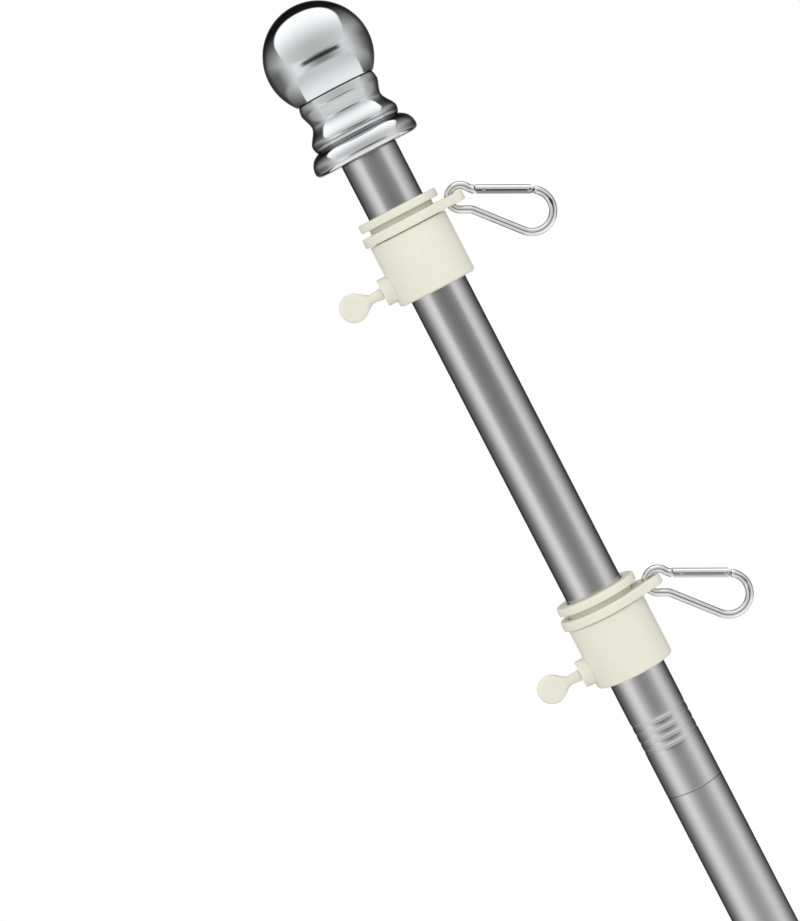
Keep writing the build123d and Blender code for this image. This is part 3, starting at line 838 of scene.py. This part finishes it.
def paddle(radius, thick, face):
    """Thumb screw's paddle and neck along x, its disc's middle at 0 and the boss's face at x = face.
    The half width follows the disc, the root of r^2 - x^2, and then eases down to the neck. The
    section turns from a superellipse of power 4.5 into a circle, and the disc is dished by a share of
    1 - (x^2 + y^2) / d^2."""
    round_end = -radius * np.cos(np.linspace(0, np.pi * 0.62, 60))
    x = np.concatenate([round_end, np.linspace(radius * 0.385, face, 62)[1:]])
    disc = np.sqrt(np.maximum(radius**2 - x**2, 0))
    leave, waist = radius * 0.36, radius * 1.4
    s = np.clip((x - leave) / (waist - leave), 0, 1)[:, None]
    edge = np.sqrt(radius**2 - leave**2)
    slope = -leave / edge * (waist - leave)
    ease = edge * (2 * s**3 - 3 * s**2 + 1) + slope * (s**3 - 2 * s**2 + s) + 2.1 * MM * (3 * s**2 - 2 * s**3)
    wide = np.where(x < leave, disc, ease[:, 0] + 0.35 * MM * blend(x, waist, face))
    round_share = blend(x, radius * 0.3, radius * 1.5)
    deep = thick / 2 + (wide - thick / 2) * round_share
    grid = carried(np.stack([x, 0 * x], axis=1), wide, deep, 56, (4.5 - 2.5 * round_share)[:, None])
    flat = (grid[..., 0] ** 2 + grid[..., 1] ** 2) / radius**2
    rim = np.sqrt(np.maximum(1 - np.clip((np.sqrt(flat) - 0.84) / 0.16, 0, 1) ** 2, 0))
    grid[..., 2] *= 1 - blend(-grid[..., 0], 0, radius * 0.5) * (1 - rim)
    grid[..., 2] *= 1 - 0.3 * np.clip(1 - flat / 0.55, 0, 1)
    return np.concatenate([grid, grid[-1:] * 0 + [[[face, 0, 0]]]])


class FLAGPOLE_OT_collars(bpy.types.Operator):
    """Makes the two sliding collars with their bosses, thumb screws and swivel rings"""

    bl_idname = "flagpole.collars"
    bl_label = "Collars"

    def execute(self, context):
        sizes, finishes = settings_of(context)
        ivory = finish(ivory_nylon, finishes.ivory)
        for name in COLLARS:
            drop = sizes.upper_drop if name == "upper" else sizes.lower_drop
            top = on_pole(sizes, drop)
            boss = Place(on_pole(sizes, drop + sizes.screw_drop).origin, SIDE, -UNDER_POLE)
            Piece(f"{name}_collar_shell").grid(
                top(turned(collar_profile(sizes), 144)), round_rows=True
            ).grid(boss(turned(boss_profile(), 72)), round_rows=True).make(
                f"{name}_collar_body", ivory, "ivory", (f"{name}_collar",), 35
            )
            smoothed(
                f"{name}_swivel_ring", f"{name}_swivel_loop", f"{name}_swivel", ivory, 30
            )
            self.thumb_screw(sizes, name, boss, ivory)
        return {"FINISHED"}

    def thumb_screw(self, sizes, name, boss, ivory):
        """Moulded screw on the boss's axis, with a dished paddle in the plane of the pole."""
        radius = sizes.paddle_radius
        face = (BODY_R + BOSS_TALL) * MM
        middle = face + PADDLE_REACH * MM - radius
        flat = Place(boss.origin - UNDER_POLE * middle, UNDER_POLE, SIDE)
        thread_depth, tip, head = 0.3 * MM, 13.0 * MM, face + 0.9 * MM
        stem = threaded(THUMB_R * MM, sizes.thumb_pitch, thread_depth, tip, head, 40, 10)
        Piece(f"{name}_thumb_paddle").grid(
            flat(paddle(radius, sizes.paddle_thick, middle - face - 0.2 * MM))
        ).grid(boss(stem)).make(f"{name}_thumb", ivory, "ivory", (f"{name}_thumb_screw",), 40)


# Snap hooks

HOOK_LEAN = radians(17.8)
EYE_OUT = 21.3
SMALL_BEND = 5.1
BEND_PLAY = 0.2
HOOK_SAG = 0.8 * MM
WIDE_CENTRE, WIDE_BEND = np.array([30.26, -5.75]), 8.95
SPINE_TURN = 22.2
SHOULDER_BEND = 5.0
NOSE_RUN = 6.1
RIVET = (29.2, 3.37)
GATE_START = 6.4


def hook_place(sizes, name):
    """Axes of a snap hook: origin at its small bend's centre, x along the hook, y on its gate's side."""
    drop = sizes.upper_drop if name == "upper" else sizes.lower_drop
    drop += (NECK_FOOT - SWIVEL_GAP - SWIVEL_THICK / 2) * MM
    origin = on_pole(sizes, drop)(np.array([EYE_OUT + SMALL_BEND - BEND_PLAY, 0, 0]) * MM)
    hook = Place(origin, (np.sin(HOOK_LEAN), 0, -np.cos(HOOK_LEAN)), SIDE)
    hook.origin = hook((0, -HOOK_SAG, 0))
    return hook


def hook_path():
    """Wire's middle line in millimetres, from the rivet round the wide bend, down the spine, over the
    shoulder, round the small bend and along the nose, and how far along it each point lies."""
    turn = SPINE_TURN
    foot = WIDE_CENTRE - WIDE_BEND * np.array([np.sin(radians(turn)), np.cos(radians(turn))])
    head_x = foot[0] + (SMALL_BEND + foot[1]) / np.tan(radians(turn))
    back = SHOULDER_BEND * np.tan(radians(turn / 2))
    shoulder = arc((head_x - back, -SMALL_BEND - SHOULDER_BEND), SHOULDER_BEND, 90 - turn, 90, 12)
    drop = SMALL_BEND - RIVET[1]
    lean = 2 * np.degrees(np.arctan(drop / NOSE_RUN))
    nose = NOSE_RUN / 2 / np.sin(radians(lean))
    first = arc((0, SMALL_BEND - nose), nose, 90, 90 - lean, 12)
    middle = first[-1]
    second = arc(middle + (middle - np.array([0, SMALL_BEND - nose])), nose, 270 - lean, 270, 12)
    start = arc(WIDE_CENTRE, WIDE_BEND, 82, -90 - turn, 90)
    path = joined(
        easing((RIVET[0] - 1.4, RIVET[1]), start[0], (3.0, 0), (1.6, -0.25), 22),
        start,
        run(foot, shoulder[0], 60),
        shoulder,
        run(shoulder[-1], (0, -SMALL_BEND), 12),
        arc((0, 0), SMALL_BEND, -90, -270, 50),
        first,
        second,
        run(second[-1], (8.9, RIVET[1]), 12),
    )
    gone = np.concatenate([[0], np.cumsum(np.linalg.norm(np.diff(path, axis=0), axis=1))])
    return path, gone


def hook_wire(radius):
    """The wire with its forged ends: flattened where the rivet and the latch hold it, with a lip
    before the latch, and rounded off at both tips."""
    path, gone = hook_path()
    left = gone[-1] - gone
    full = blend(gone, 2.7, 4.4) * blend(left, 2.7, 3.0)
    lip = np.exp(-(((left - 3.5) / 0.45) ** 2)) * 0.24
    tip = np.sqrt(np.clip(1 - (1 - np.clip(np.minimum(gone, left) / 0.9, 0, 1)) ** 2, 0, 1))
    flat_high, flat_deep = 1.35, 0.6
    high = (flat_high + (radius - flat_high) * full + lip) * tip
    deep = (flat_deep + (radius - flat_deep) * full + lip) * tip
    return carried(path, high, deep, 36)


def gate_channel(radius, wall=0.55, count=28):
    """Folded gate: a channel whose section is an outer and an inner half round, with sides below
    that lean in as the root of r^2 - (lean y)^2, run from its latch end to the rivet. The rivet end
    is rounded, so a point at height y ends at the rivet plus the root of r^2 - y^2, and the latch
    end is cut back a little below."""
    t = np.linspace(0, np.pi, count)
    lean = 0.4
    low = np.linspace(-radius * 0.96, 0, 12)[:-1]

    def half_round(inset):
        left = np.stack([low, np.sqrt(radius**2 - (lean * low) ** 2) - inset], axis=1)
        top = np.stack([(radius - inset) * np.sin(t), (radius - inset) * np.cos(t)], axis=1)
        right = left[::-1] * np.array([1, -1])
        return np.concatenate([left, top, right])

    outer = half_round(0.0)
    inner = half_round(wall)[::-1]
    section = np.concatenate([outer, inner])
    y, z = section[:, 0], section[:, 1]
    end = RIVET[0] + np.sqrt(np.maximum(radius**2 - np.minimum(np.abs(y), radius) ** 2, 0))
    start = GATE_START + 0.5 * blend(-y, 0.2, radius)
    s = np.linspace(0, 1, 40)[:, None]
    x = start + (end - start) * s
    grid = np.stack([x, RIVET[1] + y + 0 * s, z + 0 * s], axis=-1)
    half = len(outer)
    caps = [np.stack([row[:half], row[half:][::-1]]) for row in (grid[0], grid[-1])]
    return grid, caps


def button(x, y, radius, height, bottom):
    """Low round head of a pin: r from 0 to its radius, with a domed top, on both faces."""
    outline = joined(
        run((0, -bottom - height), (radius * 0.55, -bottom - height), 3),
        arc((radius * 0.55, -bottom - height + radius * 0.45), radius * 0.45, -90, 0, 5),
        run((radius, -bottom), (radius, bottom), 3),
        arc((radius * 0.55, bottom + height - radius * 0.45), radius * 0.45, 0, 90, 5),
        run((radius * 0.55, bottom + height), (0, bottom + height), 3),
    )
    return turned(outline, 32) + np.array([x, y, 0])


class FLAGPOLE_OT_hooks(bpy.types.Operator):
    """Makes the two snap hooks: bent wire, folded gate, rivet and latch pin"""

    bl_idname = "flagpole.hooks"
    bl_label = "Snap hooks"

    def execute(self, context):
        sizes, finishes = settings_of(context)
        plate = finish(plated_wire, finishes.plate)
        for name in COLLARS:
            place = hook_place(sizes, name)
            Piece(f"{name}_hook_wire").grid(place(hook_wire(sizes.wire_radius / MM) * MM)).make(
                f"{name}_hook_body", plate, "hook_plate", (f"{name}_hook",), 60
            )
            grid, caps = gate_channel(sizes.gate_radius / MM)
            gate = Piece(f"{name}_gate_channel").grid(place(grid * MM))
            for cap in caps:
                gate.grid(place(cap * MM), round_columns=False)
            gate.grid(place(button(GATE_START + 3.6, RIVET[1] + 0.1, 0.7, 0.3, 1.95) * MM))
            gate.make(f"{name}_gate", plate, "hook_plate", (f"{name}_hook_gate",), 40)
            Piece(f"{name}_rivet_heads").grid(place(button(*RIVET, 0.95, 0.3, 1.95) * MM)).make(
                f"{name}_hook_body", plate, "hook_plate", (f"{name}_hook_rivet",), 40
            )
        return {"FINISHED"}


# Wing screws and bracket

WING_TURN = radians(21)
WING_SWEEP = radians(38)
HUB_LONG = 6.4
THREAD_DEPTH = 0.56 * MM


def wing_surface(reach, width, root=2.2):
    """Wing in millimetres: along its length x the half width grows from the root to a rounded tip,
    and the thickness is waisted. Its section is a superellipse of power 5."""
    corner = 1.7
    to_tip = reach - corner * (1 - np.sin(np.linspace(0, np.pi / 2, 12)[1:]))
    x = np.concatenate([np.linspace(root, reach - corner, 26), to_tip])
    s = (x - root) / (reach - root)
    half = width / 2 * (0.80 + 0.20 * blend(s, 0.15, 0.8))
    past = np.clip((x - (reach - corner)) / corner, 0, 1)
    half = half - corner * (1 - np.sqrt(np.maximum(1 - past**2, 0)))
    thick = 1.1 + 0.25 * (1 - blend(s, 0, 0.35)) - 0.12 * np.sin(np.pi * s)
    thick = thick * np.sqrt(np.maximum(1 - np.clip((x - (reach - 0.45)) / 0.45, 0, 1) ** 2, 0.0))
    path = np.stack([x, 0 * x], axis=1)
    return carried(path, half, thick, 48, 5.0)


class FLAGPOLE_OT_wing_screws(bpy.types.Operator):
    """Makes the bracket's three wing screws, with true threads, turned hubs and swept wings"""

    bl_idname = "flagpole.wing_screws"
    bl_label = "Wing screws"

    def execute(self, context):
        sizes, finishes = settings_of(context)
        zinc = finish(bright_zinc, finishes.zinc)
        across = np.array([np.sin(WING_TURN), 0, np.cos(WING_TURN)])
        hub_r = sizes.hub_radius / MM
        for name in ("socket", "level", "raised"):
            low, high = (np.array(corner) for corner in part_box(f"wing_screw_{name}_stud"))
            middle = (low + high) / 2
            head = np.array([middle[0], low[1], middle[2]])
            reach = high[1] - low[1]
            stud = Place(head, across, -SIDE)
            thread = threaded(sizes.screw_radius, sizes.screw_pitch, THREAD_DEPTH, 0.9 * MM, reach, 56, 12)
            tip = joined(
                run((0, 0.3), (1.15, 0.25), 3), easing((1.15, 0.25), (2.0, 0), (0.3, 0), (0.5, 0), 6),
                easing((2.0, 0), (2.75, 0.75), (0.6, 0), (0, 0.5), 8), run((2.75, 0.75), (2.75, 1.3), 2),
                run((2.75, 1.3), (0, 1.3), 2),
            ) * MM
            Piece(f"{name}_screw_thread").grid(stud(thread)).grid(stud(turned(tip, 56))).make(
                f"{name}_screw", zinc, "zinc", (f"wing_screw_{name}_stud",), 40
            )
            hub = Place(head - SIDE * 0.7 * MM, across, -SIDE)
            outline = joined(
                run((2.95, 0.4), (3.2, 0.0), 2),
                arc((3.35, 0.4), 0.4, -90, -15, 5),
                easing((3.85, 0.55), (hub_r - 0.02, 3.0), (0.7, 0.5), (0, 1.5), 12),
                easing((hub_r - 0.02, 3.0), (hub_r - 0.85, 5.0), (0, 1.5), (-0.1, 0.4), 10),
                easing((hub_r - 0.85, 5.0), (hub_r - 0.3, 5.6), (0.1, 0.3), (0, 0.3), 6),
                arc((hub_r - 0.75, 5.95), 0.45, 0, 90, 6),
                run((3.4, HUB_LONG), (2.95, HUB_LONG - 0.4), 2),
            ) * MM
            piece = Piece(f"{name}_screw_wings").grid(hub(turned(outline, 80)), round_rows=True)
            for side in (1, -1):
                along = across * side * np.cos(WING_SWEEP) + SIDE * np.sin(WING_SWEEP)
                wing = Place(hub.origin - SIDE * HUB_LONG / 2 * MM, along, np.cross(along, SIDE))
                piece.grid(wing(wing_surface(sizes.wing_reach / MM, sizes.wing_width / MM) * MM))
            piece.make(f"{name}_screw", zinc, "zinc", (f"wing_screw_{name}_wings",), 40)
        return {"FINISHED"}


class FLAGPOLE_OT_casting(bpy.types.Operator):
    """Finishes the cast bracket with smooth radii and its sand-cast silver skin"""

    bl_idname = "flagpole.casting"
    bl_label = "Bracket"

    def execute(self, context):
        finishes = settings_of(context)[1]
        silver = finish(painted_casting, finishes.cast)
        smoothed("bracket", "bracket_casting", "wall_bracket", silver, 35)
        return {"FINISHED"}


class FLAGPOLE_PT_panel(bpy.types.Panel):
    """Lists the steps that dress the flagpole"""

    bl_idname = "FLAGPOLE_PT_panel"
    bl_label = "Flagpole"
    bl_space_type = "VIEW_3D"
    bl_region_type = "UI"
    bl_category = "Flagpole"

    def draw(self, context):
        for step in STEPS:
            self.layout.operator(step.bl_idname)
        scene = context.scene
        for group in (scene.flagpole_finishes, scene.flagpole_stage, scene.flagpole_sizes):
            box = self.layout.box()
            for name in group.bl_rna.properties.keys():
                if name not in ("rna_type", "name"):
                    box.prop(group, name)


STEPS = (
    FLAGPOLE_OT_stage,
    FLAGPOLE_OT_tubes,
    FLAGPOLE_OT_finial,
    FLAGPOLE_OT_collars,
    FLAGPOLE_OT_hooks,
    FLAGPOLE_OT_wing_screws,
    FLAGPOLE_OT_casting,
)
GROUPS = {
    "flagpole_sizes": FlagpoleSizes,
    "flagpole_finishes": FlagpoleFinishes,
    "flagpole_stage": FlagpoleStage,
}


def register():
    for group in GROUPS.values():
        bpy.utils.register_class(group)
    for step in STEPS:
        bpy.utils.register_class(step)
    bpy.utils.register_class(FLAGPOLE_PT_panel)
    for name, group in GROUPS.items():
        setattr(bpy.types.Scene, name, bpy.props.PointerProperty(type=group))


def unregister():
    for name in GROUPS:
        delattr(bpy.types.Scene, name)
    bpy.utils.unregister_class(FLAGPOLE_PT_panel)
    for step in reversed(STEPS):
        bpy.utils.unregister_class(step)
    for group in GROUPS.values():
        bpy.utils.unregister_class(group)


def main():
    """Dresses the whole flagpole."""
    register()
    for step in (
        bpy.ops.flagpole.stage,
        bpy.ops.flagpole.tubes,
        bpy.ops.flagpole.finial,
        bpy.ops.flagpole.collars,
        bpy.ops.flagpole.hooks,
        bpy.ops.flagpole.wing_screws,
        bpy.ops.flagpole.casting,
    ):
        step()


if __name__ == "__main__":
    main()
